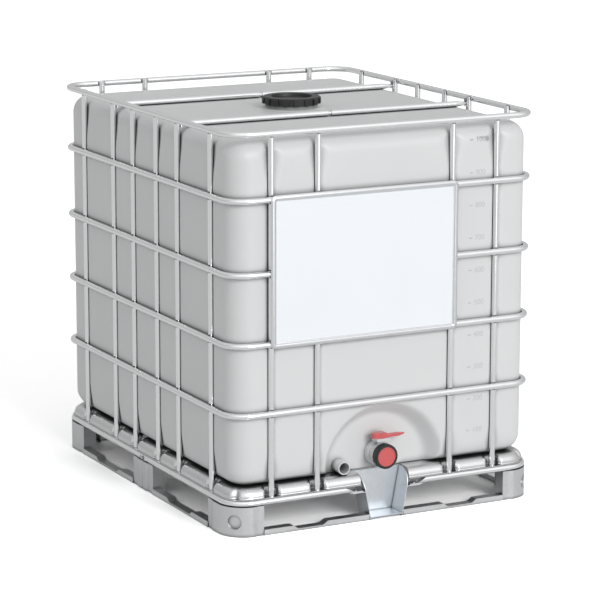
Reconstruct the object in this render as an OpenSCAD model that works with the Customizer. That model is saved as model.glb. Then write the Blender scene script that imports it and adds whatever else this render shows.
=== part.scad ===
// Intermediate bulk container: a blow-moulded bottle in a welded tube cage on a pressed steel pallet.
// Millimetres. X runs along the valve face, the valve looks to -Y, Z is up from the floor.

/* [Overall] */
// Pallet width, across the valve face
base_w = 1000; // [900:10:1100]
// Pallet length, from the valve face to the back
base_l = 1200; // [1100:10:1300]
// Height of the cage above the floor
total_h = 1150; // [1080:5:1250]

/* [Cage] */
// Outside diameter of the cage tubes
tube_d = 18; // [16:0.5:20]
// Corner radius of the rings, on the tube's centre line
ring_corner_r = 70; // [64:1:90]
// How far two crossing tubes are pressed into each other
crossing_press = 8; // [6:0.5:9]
// Length of the pressed flat at a crossing
crossing_flat_l = 24; // [23:0.5:28]
// Height of the second ring, on its centre line
upper_ring_z = 956; // [920:1:980]
// Height of the third ring
middle_ring_z = 748; // [720:1:780]
// Height of the fourth ring
lower_ring_z = 548; // [520:1:580]
// Height of the fifth ring
base_ring_z = 348; // [342:1:380]
// Distance of the outer uprights of the front and back from the sides of the pallet
front_outer_in = 137; // [120:1:150]
// Spacing of the outer and inner uprights of the front and back
front_pitch = 146; // [126:1:153]
// Distance of the outer uprights of the long sides from the ends of the pallet
side_outer_in = 157; // [140:1:170]
// Spacing of the outer uprights of the long sides and the ones that carry the cross bars
side_outer_pitch = 218; // [200:1:230]
// Spacing of those and the innermost uprights of the long sides
side_inner_pitch = 143; // [120:1:150]
// Distance from the top of the cage down to the ends of the uprights
upright_drop = 4; // [2:0.5:8]

/* [Cross bars] */
// Outside diameter of the cross bars
bar_d = 18; // [16:0.5:20]
// Diameter of the spigot that joins the two halves of a bar
bar_spigot_d = 13; // [10:0.5:14]
// Open gap between the two halves, where the spigot shows
bar_gap = 12; // [6:1:20]
// Length of spigot inside the left half
bar_spigot_l = 40; // [30:1:60]
// Thickness of the flattened end tabs
bar_tab_t = 4; // [3:0.5:6]
// Length over which a bar end tapers to its tab
bar_taper_l = 34; // [25:1:45]
// Thread diameter of the bar screws
bar_screw_d = 6; // [5:0.5:7]
// Height of the bar screws above the bar's centre line
bar_screw_rise = 11; // [10:0.5:12]
// Place of the joint between the two halves of a bar
bar_joint_x = 7; // [-40:1:40]
// Depth of the flat on the upright that a bar's tab lies on
bar_seat_depth = 2; // [1:0.5:3]

/* [Bottle] */
// Distance from the top of the cage down to the top of the bottle
bottle_drop = 32; // [31:1:45]
// Clearance between the bottle's panels and the rings
bottle_gap = 0.5; // [0.3:0.1:3]
// How much rounder the bottle's upright corners are than the inside of the rings
bottle_corner_ease = 1; // [0.5:0.5:10]
// Radius of the bottle's top and bottom edges
bottle_edge_r = 52; // [40:1:53]
// Wall of the bottle
bottle_wall = 3; // [2:0.5:5]
// Clearance between an upright and the groove that it lies in
groove_gap = 2; // [1:0.5:4]
// Radius of the arched recess round the valve
recess_r = 196; // [170:1:200]
// Height of the top of the recess
recess_top_z = 337; // [325:1:338]
// Depth of the recess
recess_depth = 51.5; // [49:0.5:60]
// Radius between the side wall and the back wall of the recess
recess_fillet_r = 34; // [20:1:40]

/* [Filling neck and cap] */
// Outside radius of the filling neck
neck_r = 79; // [70:0.5:85]
// Wall of the neck
neck_wall = 6; // [4:0.5:9]
// Height of the neck above the bottle
neck_h = 25; // [22:0.5:30]
// Radial clearance of the cap's thread
cap_thread_gap = 0.3; // [0.3:0.05:0.6]
// Wall of the cap's skirt, without the lugs
cap_wall = 6; // [5:0.5:8]
// Height of the cap's skirt
cap_h = 20; // [17:0.5:22]
// Thickness of the cap's top
cap_top_t = 6; // [4:0.5:8]
// Radius of the sunk middle of the cap
cap_well_r = 60; // [50:1:64]
// Depth of the sunk middle of the cap
cap_well_depth = 9; // [7:0.5:12]
// Thickness of the cap in its sunk middle
cap_well_t = 4; // [3:0.5:5]
// Thickness of the sealing ring under the cap
cap_seal_t = 2.5; // [2:0.25:4]
// Number of grip lugs on the cap
cap_lugs = 16; // [8:1:24]
// Height by which the lugs stand out
cap_lug_h = 3.5; // [2:0.5:5]

/* [Valve] */
// Height of the outlet's axis above the floor
valve_z = 181; // [178:1:190]
// Bore radius of the outlet
valve_bore_r = 24; // [20:0.5:25]
// Wall of the valve's barrel
valve_wall = 6; // [5:0.5:7]
// Step from the valve's barrel out to its flange
boss_step = 3; // [2:0.5:4]
// Length of the moulded boss on the bottle
boss_l = 8; // [7:0.5:12]
// Thickness of the gasket between boss and valve
valve_gasket_t = 2; // [1.5:0.5:3]
// Thickness of the flange at the back of the valve
valve_flange_t = 5; // [4:0.5:6]
// Wall of the union nut
nut_wall = 3; // [2.5:0.5:5]
// Distance from the back of the valve to the stem
stem_y_in_valve = 24.5; // [24.5:0.5:25]
// Length of the valve's body
valve_l = 50; // [49.5:0.5:52]
// Radius of the stem
stem_r = 6; // [5:0.5:7]
// Radial running clearance of the stem in the valve
stem_gap = 0.05; // [0.02:0.01:0.1]
// Height of the top of the stem housing above the outlet's axis
housing_h = 50; // [46:1:55]
// Radius of the stem housing
housing_r = 11; // [10:0.5:12]
// Half width of the plate on top of the stem housing
housing_plate_w = 22; // [18:0.5:24]
// Thickness of the plate on top of the stem housing
housing_plate_t = 8; // [6:0.5:9]
// Thickness of the closing disc
flap_t = 5; // [4:0.5:6]
// Gap between the closing disc and the bore
flap_gap = 0.35; // [0.3:0.05:0.5]
// Reach of the lever from the stem to its tip
lever_l = 76; // [70:1:88]
// Reach of the lever's short end
lever_tail_l = 31; // [20:0.5:31]
// Height of the lever's hub
lever_h = 15; // [13:0.5:18]
// Thickness of the lever's arm
lever_arm_t = 8; // [6:0.5:9]
// Length of the lever's pointed tip
lever_tip_l = 20; // [14:1:26]
// Gap under the lever
lever_gap = 0.3; // [0.2:0.05:0.5]
// Outside radius of the outlet's screw ring
outlet_ring_r = 36; // [34.5:0.5:40]
// Depth of the outlet's screw ring
outlet_ring_l = 22; // [19:0.5:22]
// Radial clearance of the screw ring's thread
outlet_thread_gap = 0.3; // [0.3:0.05:0.5]
// Width of the lip that holds the closing plate
outlet_lip_w = 1.5; // [1.25:0.25:3]
// Thickness of the lip that holds the closing plate
outlet_lip_t = 5; // [3:0.5:6]
// Thickness of the outlet's closing plate
outlet_plate_t = 3; // [2:0.5:4]
// Thickness of the outlet's sealing ring
outlet_seal_t = 2; // [1.5:0.25:3]

/* [Pipe stub] */
// Distance of the pipe stub from the outlet's axis
stub_x = 126; // [118:1:130]
// Height of the pipe stub's axis
stub_z = 157; // [157:1:162]
// Outside radius of the pipe stub
stub_r = 19; // [16:0.5:19.5]
// Wall of the pipe stub
stub_wall = 3; // [2:0.5:4]
// Length of the pipe stub
stub_l = 46; // [36:1:52]

/* [Pallet] */
// Height of the bottom rail, on its centre line
rail_z = 96; // [92:1:105]
// Sheet thickness of the legs and skids
leg_t = 2.5; // [2:0.25:3]
// Length of a corner leg along the width
corner_leg_x = 107; // [96:1:115]
// Length of a corner leg along the length
corner_leg_y = 150; // [130:1:165]
// Depth of the folded returns at the ends of a leg
leg_return = 42; // [30:1:50]
// Depth of the pressed strip at the ends of a leg
leg_step = 3; // [2:0.5:4]
// Length of the stepped end of a leg
leg_step_l = 18; // [12:1:24]
// Length of the slope between the stepped end and the full face of a leg
leg_slope_l = 20; // [12:1:24]
// Width of the flange on top of a leg, under the rail
leg_flange_w = 22; // [20:0.5:26]
// Width of the tab that bolts a middle leg to the rail
leg_tab_w = 34; // [24:1:44]
// Diameter of the pressed dimple in a corner leg
dimple_d = 43; // [30:1:46]
// Depth of the dimple pressed into a corner leg
dimple_depth = 9; // [5:0.5:12]
// Length of the middle legs
mid_leg_l = 140; // [120:1:160]
// Width of the skids
skid_w = 28; // [24:1:40]
// Height of the skids' low stretches
skid_low_h = 7; // [6:0.5:9]
// Height of the skids' raised stretches
skid_high_h = 17; // [14:0.5:20]
// Length of the raised part of a front or back skid beside its middle support
skid_inner_rib_l = 135; // [100:1:150]
// Length of the raised part of a front or back skid beside its corner leg
skid_outer_rib_l = 92; // [60:1:110]
// Length of the raised parts of a side skid
skid_side_rib_l = 105; // [70:1:140]
// Sheet thickness of the skids
skid_t = 2; // [1.5:0.25:3]
// Thickness of the deck sheet
deck_t = 2; // [1.5:0.25:3]
// Height of the raised middle of the deck, on which the bottle stands
tray_top_z = 137; // [124:1:137]
// Radius of the raised deck's rolled edge
tray_edge_r = 26; // [20:1:28]
// Gap round an upright in the rolled edge of the deck
tray_notch_gap = 8; // [5:0.5:12]
// Radius of the flat corners that the rolled edge leaves free
tray_corner_notch_r = 60; // [52:1:70]
// How far the deck's flange stands out past the middle of the rail
tray_lip_w = 4; // [2:0.5:6]
// Depth of the pressed channels in the deck
deck_rib_h = 10; // [6:0.5:12]
// Number of pressed channels in the deck
deck_ribs = 6; // [4:1:8]

/* [Valve guard] */
// Sheet thickness of the valve guard
guard_t = 2.5; // [2:0.25:3]
// Inside width of the guard at the floor
guard_foot_w = 100; // [90:1:110]
// Outside width of the guard at its top
guard_top_w = 156; // [146:1:160]
// Depth of the guard
guard_depth = 67; // [62:0.5:68]
// Height of the guard's back panel
guard_h = 134; // [128:1:136]
// Radius of the guard's curved side edges
guard_curve_r = 49; // [40:1:52]
// Height of the shelf in the guard's foot
guard_shelf_z = 8; // [6:1:14]
// Length of the flattened rail ends beside the guard
rail_tab_l = 42; // [38:1:48]
// Depth of the rail's flattened ends, from front to back
rail_tab_w = 25; // [20:1:30]
// Thickness of the rail's flattened ends
rail_tab_t = 4; // [3:0.5:6]
// Distance from the free end of a flattened rail end to its rivet
rivet_x = 19; // [12:1:22]
// Thread radius of the rail's bolts
bolt_r = 3; // [2.5:0.5:4]
// Depth that a bolt's head is let into the rail
bolt_head_h = 3; // [2.5:0.25:3.5]

/* [Label plate] */
// How far the label plate reaches past the outer upright on its left
plate_left_out = 10; // [8:1:22]
// How far the label plate reaches past the inner upright on its right
plate_right_out = 9; // [8:1:18]
// Height of the plate's upper edge
plate_top_z = 969; // [965:1:975]
// Height of the plate's lower edge
plate_bottom_z = 536; // [530:1:540]
// Sheet thickness of the plate
plate_t = 1; // [0.8:0.1:1.5]
// Width of the plate's raised border
plate_border_w = 20; // [14:0.5:24]
// Height of the plate's raised border
plate_border_h = 4; // [3:0.25:5]
// Corner radius of the plate
plate_corner_r = 16; // [12:1:20]

/* [Hidden] */

round_fn = 96;
fine_fn = 48;
cut = 1;
seat_gap = 0.2;
tab_gap = 0.2;

tube_r = tube_d / 2;
ring_x = base_w / 2 - tube_r;
ring_y = base_l / 2 - tube_r;
ring_z = [total_h - tube_r, upper_ring_z, middle_ring_z, lower_ring_z, base_ring_z];
flat_offset = tube_r - crossing_press / 2;
upright_x = ring_x - 2 * flat_offset;
upright_y = ring_y - 2 * flat_offset;
front_outer_x = base_w / 2 - front_outer_in;
front_inner_x = front_outer_x - front_pitch;
side_outer_y = base_l / 2 - side_outer_in;
side_middle_y = side_outer_y - side_outer_pitch;
side_inner_y = side_middle_y - side_inner_pitch;
front_xs = [-front_outer_x, -front_inner_x, front_inner_x, front_outer_x];
side_ys = [-side_outer_y, -side_middle_y, -side_inner_y, side_inner_y, side_middle_y, side_outer_y];

rail_bottom = rail_z - tube_r;
outer_corner_r = ring_corner_r + tube_r;
deck_top = rail_z + tube_r + deck_t;
upright_top = total_h - upright_drop;

bottle_top = total_h - bottle_drop;
bottle_x = ring_x - tube_r - bottle_gap;
bottle_y = ring_y - tube_r - bottle_gap;
bottle_corner_r = ring_corner_r - tube_r + bottle_corner_ease;
recess_wall_y = -bottle_y + recess_depth;
recess_z = recess_top_z - recess_r;

bar_z = bottle_top + bar_d / 2 + 0.3;
bar_seat_x = upright_x - tube_r + bar_seat_depth;
bar_screw_z = bar_z + bar_screw_rise;
bar_ys = [-side_middle_y, side_middle_y];

barrel_r = valve_bore_r + valve_wall;
boss_r = barrel_r + boss_step;
valve_back_y = recess_wall_y - boss_l - valve_gasket_t;
valve_front_y = valve_back_y - valve_l;
stem_y = valve_back_y - stem_y_in_valve;
housing_top = valve_z + housing_h;
lever_z = housing_top + lever_gap;
flap_r = valve_bore_r - flap_gap;
outlet_bore_r = barrel_r + outlet_thread_gap;
outlet_lip_r = barrel_r - outlet_lip_w;
outlet_plate_y = valve_front_y - outlet_seal_t;
outlet_lip_y = outlet_plate_y - outlet_plate_t;
outlet_front_y = outlet_lip_y - outlet_lip_t;

neck_top = bottle_top + neck_h;
neck_bore_r = neck_r - neck_wall;
cap_ceiling = neck_top + cap_seal_t;
cap_top = cap_ceiling + cap_top_t;
cap_bottom = cap_top - cap_h;
cap_bore_r = neck_r + cap_thread_gap;
cap_r = cap_bore_r + cap_wall;

plate_left_x = -front_outer_x - plate_left_out;
plate_right_x = front_inner_x + plate_right_out;

guard_back_y = -base_l / 2 + guard_depth;
guard_foot_x = guard_foot_w / 2 + guard_t;
guard_top_x = guard_top_w / 2;
function guard_x(z) = guard_foot_x + (guard_top_x - guard_foot_x) * z / guard_h;
rail_tab_x = guard_x(rail_bottom) + 8;

// ---------- profiles ----------

// Rounded slab seen from its end: half width, floor, top and edge radius
module slab_profile(half, z0, z1, r) {
  translate([-half + r, z0]) square([2 * (half - r), z1 - z0]);
  translate([-half, z0 + r]) square([2 * half, z1 - z0 - 2 * r]);
  for (x = [-half + r, half - r], z = [z0 + r, z1 - r])
    translate([x, z]) circle(r = r, $fn = round_fn);
}

// The right half of such a slab, from its axis outwards
module half_slab_profile(half, z0, z1, r) {
  translate([0, z0]) square([half - r, z1 - z0]);
  translate([0, z0 + r]) square([half, z1 - z0 - 2 * r]);
  intersection() {
    union() for (z = [z0 + r, z1 - r])
      translate([half - r, z]) circle(r = r, $fn = round_fn);
    translate([0, z0 - cut]) square([half + cut, z1 - z0 + 2 * cut]);
  }
}

// Block with round upright corners rc and round top and bottom edges re
module soft_block(hx, hy, z0, z1, rc, re) {
  along_y(2 * (hy - rc)) slab_profile(hx, z0, z1, re);
  along_x(2 * (hx - rc)) slab_profile(hy, z0, z1, re);
  for (c = [[1, 1, 0], [-1, 1, 90], [-1, -1, 180], [1, -1, 270]])
    translate([c[0] * (hx - rc), c[1] * (hy - rc), 0]) rotate([0, 0, c[2]])
      rotate_extrude(angle = 90, $fn = round_fn) half_slab_profile(rc, z0, z1, re);
}

// Rounded rectangle round the origin
module round_rect(hx, hy, r) {
  square([2 * (hx - r), 2 * hy], center = true);
  square([2 * hx, 2 * (hy - r)], center = true);
  for (x = [-hx + r, hx - r], y = [-hy + r, hy - r])
    translate([x, y]) circle(r = r, $fn = round_fn);
}

// Stands a profile up and runs it along Y or X, centred
module along_y(l) { rotate([90, 0, 0]) linear_extrude(l, center = true) children(); }
module along_x(l) { rotate([90, 0, 90]) linear_extrude(l, center = true) children(); }

// Round bar or hole along -Y from y0, or along X from x0
module rod_y(r, y0, l, fn = round_fn)
  translate([0, y0, 0]) rotate([90, 0, 0]) cylinder(r = r, h = l, $fn = fn);
module rod_x(r, x0, l, fn = fine_fn)
  translate([x0, 0, 0]) rotate([0, 90, 0]) cylinder(r = r, h = l, $fn = fn);

// Round bars on the axes of all uprights, from z0 up to z1
module upright_bars(r, z0, z1) {
  for (x = front_xs, y = [-upright_y, upright_y])
    translate([x, y, z0]) cylinder(r = r, h = z1 - z0, $fn = fine_fn);
  for (x = [-upright_x, upright_x], y = side_ys)
    translate([x, y, z0]) cylinder(r = r, h = z1 - z0, $fn = fine_fn);
}

// ---------- bottle ----------

// Recess round the valve: an arch whose side wall runs into its back wall in a cove
module recess_form(t) {
  r = recess_r + t;
  d = recess_depth + t;
  f = recess_fillet_r + t;
  lead = f + 10;
  translate([0, -bottle_y, recess_z]) rotate([-90, 0, 0]) rotate([0, 0, 180])
    rotate_extrude(angle = 180, $fn = round_fn) half_slab_profile(r, -lead, d, f);
  translate([0, -bottle_y, tray_top_z - lead]) linear_extrude(recess_z - tray_top_z + lead)
    slab_profile(r, -lead, d, f);
}

// Outer form of the bottle, or with a wall t the cavity inside it
module bottle_form(t) {
  z0 = tray_top_z + t;
  z1 = bottle_top - t;
  difference() {
    soft_block(bottle_x - t, bottle_y - t, z0, z1, bottle_corner_r - t, bottle_edge_r - t);
    upright_bars(tube_r + groove_gap + t, z0 - cut, z1 + cut);
    recess_form(t);
  }
}

module bottle() color("gainsboro") difference() {
  union() {
    bottle_form(0);
    translate([0, 0, bottle_top - bottle_wall / 2])
      cylinder(r = neck_r, h = neck_h + bottle_wall / 2, $fn = round_fn);
    translate([0, 0, valve_z]) rod_y(boss_r, recess_wall_y + bottle_wall / 2, boss_l + bottle_wall / 2);
  }
  bottle_form(bottle_wall);
  translate([0, 0, bottle_top - 2 * bottle_wall])
    cylinder(r = neck_bore_r, h = neck_h + 3 * bottle_wall, $fn = round_fn);
  translate([0, 0, valve_z]) rod_y(valve_bore_r, recess_wall_y + 2 * bottle_wall, boss_l + 3 * bottle_wall);
}

// Short pipe with a closed back, welded to the back wall of the recess
module side_stub() color("gainsboro") translate([-stub_x, 0, stub_z]) difference() {
  rod_y(stub_r, recess_wall_y, stub_l);
  rod_y(stub_r - stub_wall, recess_wall_y - stub_wall, stub_l);
}

// ---------- filling cap ----------

module cap_seal() color("dimgray") translate([0, 0, neck_top]) difference() {
  cylinder(r = neck_r - 0.5, h = cap_seal_t, $fn = round_fn);
  translate([0, 0, -cut]) cylinder(r = neck_bore_r + 0.5, h = cap_seal_t + 2 * cut, $fn = round_fn);
}

module screw_cap() color("#202020") {
  well_z = cap_top - cap_well_depth;
  rim = 2;
  rotate_extrude($fn = round_fn) polygon([
    [0, well_z], [cap_well_r, well_z], [cap_well_r + rim, cap_top],
    [cap_r - rim, cap_top], [cap_r, cap_top - rim], [cap_r, cap_bottom],
    [cap_bore_r, cap_bottom], [cap_bore_r, cap_ceiling], [cap_well_r + 3 * rim, cap_ceiling],
    [cap_well_r + 2 * rim, well_z - cap_well_t], [0, well_z - cap_well_t]
  ]);
  lug_turn = 360 / cap_lugs;
  for (i = [0 : cap_lugs - 1]) rotate([0, 0, i * lug_turn])
    rotate_extrude(angle = 0.62 * lug_turn, $fn = round_fn) polygon([
      [cap_r - cap_wall / 2, cap_bottom], [cap_r + cap_lug_h, cap_bottom],
      [cap_r + cap_lug_h, cap_top - 2.5 * rim], [cap_r + cap_lug_h - rim, cap_top - 1.5 * rim],
      [cap_r - cap_wall / 2, cap_top - 1.5 * rim]
    ]);
}

// ---------- outlet valve ----------

module valve_gasket() color("dimgray") translate([0, 0, valve_z]) difference() {
  rod_y(boss_r - 0.5, recess_wall_y - boss_l, valve_gasket_t);
  rod_y(valve_bore_r, recess_wall_y - boss_l + cut, valve_gasket_t + 2 * cut);
}

module union_nut() color("gainsboro") translate([0, 0, valve_z]) {
  nut_r = boss_r + outlet_thread_gap + nut_wall;
  nut_back = valve_back_y + valve_gasket_t + 6;
  lip_back = valve_back_y - valve_flange_t;
  lip_t = 4;
  difference() {
    rod_y(nut_r, nut_back, nut_back - lip_back + lip_t);
    rod_y(boss_r + outlet_thread_gap, nut_back + cut, nut_back - lip_back + cut);
    rod_y(barrel_r + outlet_thread_gap, nut_back, nut_back - lip_back + lip_t + cut);
  }
}

module valve_body() color("gainsboro") difference() {
  union() {
    translate([0, 0, valve_z]) rod_y(boss_r - 0.5, valve_back_y, valve_flange_t);
    translate([0, 0, valve_z]) rod_y(barrel_r, valve_back_y, valve_l);
    translate([0, stem_y, valve_z]) cylinder(r = housing_r, h = housing_h, $fn = round_fn);
    translate([0, stem_y, housing_top - housing_plate_t])
      linear_extrude(housing_plate_t) round_rect(housing_plate_w, housing_plate_w - 3, 6);
  }
  translate([0, 0, valve_z]) rod_y(valve_bore_r, valve_back_y + cut, valve_l + 2 * cut);
  translate([0, stem_y, valve_z - valve_bore_r - valve_wall + 2])
    cylinder(r = stem_r + stem_gap, h = 2 * housing_h + valve_bore_r, $fn = round_fn);
}

module valve_stem() color("silver") translate([0, stem_y, 0]) {
  foot = valve_z - valve_bore_r - valve_wall + 2.3;
  top = lever_z + lever_h - 5;
  difference() {
    translate([0, 0, foot]) cylinder(r = stem_r, h = top - foot, $fn = round_fn);
    translate([0, 0, top - 12]) cylinder(r = 2.5, h = 12 + cut, $fn = fine_fn);
  }
}

// Round plate that closes the bore, with a hub on the stem
module valve_flap() color("gainsboro") translate([0, stem_y, valve_z]) difference() {
  union() {
    rod_y(flap_r, flap_t / 2, flap_t);
    translate([0, 0, -valve_bore_r + 5]) cylinder(r = stem_r + 3, h = 2 * (valve_bore_r - 5), $fn = round_fn);
  }
  translate([0, 0, -valve_bore_r]) cylinder(r = stem_r + 0.02, h = 2 * valve_bore_r, $fn = round_fn);
}

// Turning lever: thick hub and short end, flat arm along +X with a pointed tip
module lever() color("#e0444a") translate([0, stem_y, lever_z]) {
  hub_r = stem_r + 8;
  tail_r = hub_r - 3;
  arm_w = 15;
  tip_w = 3;
  screw_head_h = 3.5;
  stem_cover = 5;
  tip_x = lever_l - lever_tip_l;
  difference() {
    intersection() {
      linear_extrude(lever_h) {
        circle(r = hub_r, $fn = round_fn);
        polygon([
          [0, -hub_r], [2 * hub_r, -arm_w / 2], [tip_x, -arm_w / 2], [lever_l, -tip_w / 2],
          [lever_l, tip_w / 2], [tip_x, arm_w / 2], [2 * hub_r, arm_w / 2], [0, hub_r]
        ]);
        translate([-lever_tail_l + tail_r, -tail_r]) square([lever_tail_l - tail_r, 2 * tail_r]);
        translate([-lever_tail_l + tail_r, 0]) circle(r = tail_r, $fn = round_fn);
      }
      rotate([90, 0, 0]) linear_extrude(3 * hub_r, center = true) polygon([
        [-lever_tail_l, 0], [tip_x, 0], [lever_l, lever_arm_t / 3], [lever_l, 0.8 * lever_arm_t],
        [tip_x, lever_arm_t], [hub_r + 2, lever_arm_t], [hub_r - 4, lever_h], [-lever_tail_l, lever_h]
      ]);
    }
    translate([0, 0, -cut]) cylinder(r = stem_r + 0.02, h = lever_h - stem_cover + cut, $fn = round_fn);
    cylinder(r = 2.8, h = lever_h + cut, $fn = fine_fn);
    translate([0, 0, lever_h - screw_head_h]) cylinder(r = 6, h = screw_head_h + cut, $fn = fine_fn);
  }
}

module lever_screw() color("silver") translate([0, stem_y, lever_z + lever_h - 3.5]) {
  cylinder(r = 5.5, h = 3, $fn = fine_fn);
  translate([0, 0, -11]) cylinder(r = 2.45, h = 12, $fn = fine_fn);
}

module outlet_seal() color("dimgray") translate([0, 0, valve_z]) difference() {
  rod_y(barrel_r - 0.5, valve_front_y, outlet_seal_t);
  rod_y(valve_bore_r + 1, valve_front_y + cut, outlet_seal_t + 2 * cut);
}

// Closing plate with a raised, dished middle that shows through the screw ring
module outlet_plate() color("#e0444a") translate([0, 0, valve_z]) {
  middle_r = outlet_lip_r - 0.3;
  front = outlet_lip_t - 0.5;
  rim = 2;
  translate([0, outlet_plate_y, 0]) rotate([90, 0, 0]) rotate_extrude($fn = round_fn) polygon([
    [0, 0], [barrel_r - 0.2, 0], [barrel_r - 0.2, outlet_plate_t], [middle_r, outlet_plate_t],
    [middle_r, outlet_plate_t + front], [middle_r - rim, outlet_plate_t + front],
    [middle_r - 2 * rim, outlet_plate_t + front - rim], [0, outlet_plate_t + front - rim]
  ]);
}

module outlet_ring() color("#181818") translate([0, 0, valve_z]) difference() {
  union() {
    rod_y(outlet_ring_r - 1, outlet_front_y + outlet_ring_l, outlet_ring_l);
    rod_y(outlet_ring_r, outlet_front_y + outlet_ring_l - 1, outlet_ring_l - 3);
    for (i = [0 : 17]) rotate([0, i * 20, 0]) translate([outlet_ring_r - 0.9, 0, 0])
      rod_y(1.5, outlet_front_y + outlet_ring_l - 1, outlet_ring_l - 3, fine_fn);
  }
  ring_back = outlet_front_y + outlet_ring_l;
  rod_y(outlet_bore_r, ring_back + cut, ring_back + cut - outlet_lip_y);
  rod_y(outlet_lip_r, outlet_lip_y + cut, outlet_lip_t + 2 * cut);
}

// ---------- cage ----------

// Closed ring of tube with round corners
module tube_loop(front = true) {
  lx = 2 * (ring_x - ring_corner_r);
  ly = 2 * (ring_y - ring_corner_r);
  for (y = front ? [-ring_y, ring_y] : [ring_y]) translate([0, y, 0]) rod_x(tube_r, -lx / 2, lx);
  for (x = [-ring_x, ring_x]) translate([x, 0, 0]) rod_y(tube_r, ly / 2, ly, fine_fn);
  for (c = [[1, 1, 0], [-1, 1, 90], [-1, -1, 180], [1, -1, 270]])
    translate([c[0] * lx / 2, c[1] * ly / 2, 0]) rotate([0, 0, c[2]])
      rotate_extrude(angle = 90, $fn = round_fn)
        translate([ring_corner_r, 0]) circle(r = tube_r, $fn = fine_fn);
}

// Ring i of the cage, pressed flat where an upright crosses it
module cage_ring(i) color("silver") translate([0, 0, ring_z[i]]) difference() {
  tube_loop();
  for (x = front_xs, s = [-1, 1])
    translate([x, s * (ring_y - flat_offset - tube_r), 0])
      cube([crossing_flat_l, 2 * tube_r, 2 * tube_d], center = true);
  for (y = side_ys, s = [-1, 1])
    translate([s * (ring_x - flat_offset - tube_r), y, 0])
      cube([2 * tube_r, crossing_flat_l, 2 * tube_d], center = true);
}

// Upright at x, y, pressed flat on its outer side (turned by a from +X) at each ring
module upright(x, y, a, carries_bar = false)
color("silver") translate([x, y, 0]) rotate([0, 0, a]) difference() {
  translate([0, 0, deck_top]) cylinder(r = tube_r, h = upright_top - deck_top, $fn = fine_fn);
  for (z = ring_z) translate([flat_offset + tube_r, 0, z])
    cube([2 * tube_r, 2 * tube_d, crossing_flat_l], center = true);
  if (carries_bar) {
    translate([-2 * tube_r + bar_seat_depth, 0, bar_z + 4]) cube([2 * tube_r, 2 * tube_d, 32], center = true);
    translate([0, 0, bar_screw_z]) rod_x(bar_screw_d / 2 + 0.05, -tube_r, tube_r + 2);
  }
}

module upright_front(i) upright(front_xs[i - 1], -upright_y, -90);
module upright_back(i) upright(front_xs[i - 1], upright_y, 90);
module upright_left(i) upright(-upright_x, side_ys[i - 1], 180, i == 2 || i == 5);
module upright_right(i) upright(upright_x, side_ys[i - 1], 0, i == 2 || i == 5);

// ---------- cross bars ----------

// Tapered and flattened end of a bar at +X, with its tab on the upright
module bar_end() {
  tab_x = bar_seat_x - bar_tab_t;
  translate([tab_x - bar_taper_l, 0, 0]) rotate([0, 90, 0])
    cylinder(r1 = bar_d / 2, r2 = bar_d / 3.6, h = bar_taper_l, $fn = fine_fn);
  difference() {
    translate([tab_x, -bar_d / 2 - 1, -bar_d / 2])
      cube([bar_tab_t, bar_d + 2, bar_d / 2 + bar_screw_rise + 6]);
    translate([0, 0, bar_screw_rise]) rod_x(bar_screw_d / 2 + 0.2, tab_x - cut, bar_tab_t + 2 * cut);
  }
}

module bar_left(y) color("silver") translate([0, y, bar_z]) difference() {
  x0 = -bar_seat_x + bar_tab_t + bar_taper_l;
  x1 = bar_joint_x - bar_gap / 2;
  union() {
    mirror([1, 0, 0]) bar_end();
    rod_x(bar_d / 2, x0, x1 - x0);
  }
  rod_x(bar_spigot_d / 2 + 0.1, x1 - bar_spigot_l - 2, bar_spigot_l + 2 + cut);
}

module bar_right(y) color("silver") translate([0, y, bar_z]) {
  x0 = bar_joint_x + bar_gap / 2;
  x1 = bar_seat_x - bar_tab_t - bar_taper_l;
  bar_end();
  rod_x(bar_d / 2, x0, x1 - x0);
  rod_x(bar_spigot_d / 2, x0 - bar_gap - bar_spigot_l, bar_gap + bar_spigot_l + cut);
}

module bar_screws() color("gray") for (s = [0, 1], y = bar_ys) mirror([s, 0, 0])
  translate([0, y, bar_screw_z]) {
    head_h = 3;
    rod_x(bar_screw_d / 2 + 1.8, bar_seat_x - bar_tab_t - head_h, head_h);
    rod_x(bar_screw_d / 2, bar_seat_x - bar_tab_t - head_h, bar_tab_t + head_h + tube_r - bar_seat_depth);
  }

// ---------- label plate ----------

// Thin sheet on the front of the rings with a raised border bead
module label_plate() color("aliceblue") {
  hx = (plate_right_x - plate_left_x) / 2;
  hz = (plate_top_z - plate_bottom_z) / 2;
  bead_r = (pow(plate_border_w / 2, 2) + pow(plate_border_h, 2)) / (2 * plate_border_h);
  bead_back = bead_r - plate_border_h;
  translate([(plate_left_x + plate_right_x) / 2, -base_l / 2, (plate_top_z + plate_bottom_z) / 2]) {
    rotate([90, 0, 0]) linear_extrude(plate_t) round_rect(hx, hz, plate_corner_r);
    intersection() {
      translate([0, -plate_t / 2, 0]) rotate([90, 0, 0])
        linear_extrude(2 * plate_border_h) round_rect(hx, hz, plate_corner_r);
      union() {
        for (z = [-hz + plate_border_w / 2, hz - plate_border_w / 2])
          translate([0, bead_back - plate_t, z]) rod_x(bead_r, -hx, 2 * hx, round_fn);
        for (x = [-hx + plate_border_w / 2, hx - plate_border_w / 2])
          translate([x, bead_back - plate_t, -hz]) cylinder(r = bead_r, h = 2 * hz, $fn = round_fn);
      }
    }
  }
}

// ---------- pallet ----------

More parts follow.
